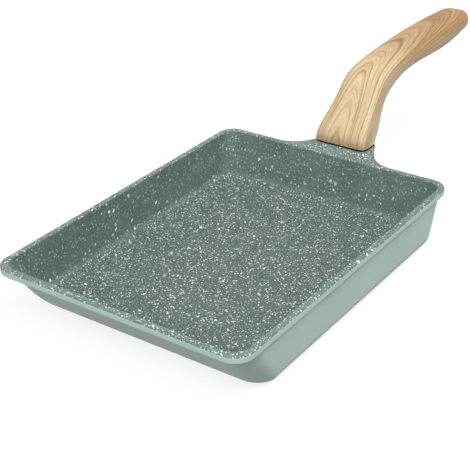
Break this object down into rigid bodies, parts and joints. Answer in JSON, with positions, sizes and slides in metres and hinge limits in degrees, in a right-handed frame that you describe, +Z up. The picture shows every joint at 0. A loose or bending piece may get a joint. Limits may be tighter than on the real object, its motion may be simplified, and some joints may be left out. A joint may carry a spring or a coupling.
{
  "type": "rectangular omelette pan",
  "caption": "Rectangular cast omelette pan with a sloped front wall, a flared lug on its short back wall, and an upswept wood-look handle screwed on through a gasket.",
  "frame": {"origin": "centre of the flat underside, between the walls' feet", "axes": "+X from the sloped front wall to the handle's tip, +Y across the pan, +Z up out of the pan"},
  "size_m": [0.3647, 0.15, 0.0772],
  "materials": {
    "coated_aluminium": "satin green coating, speckled white inside",
    "stainless_steel": "brushed",
    "black_gasket": "matt",
    "wood_look_phenolic": "satin print of light wood grain"
  },
  "bodies": {
    "root": {"pan_body": "coated_aluminium", "induction_plate": "stainless_steel", "handle_gasket": "black_gasket", "handle": "wood_look_phenolic", "handle_screw": "stainless_steel", "spring_washer": "stainless_steel", "flat_washer": "stainless_steel"}
  },
  "joints": []
}
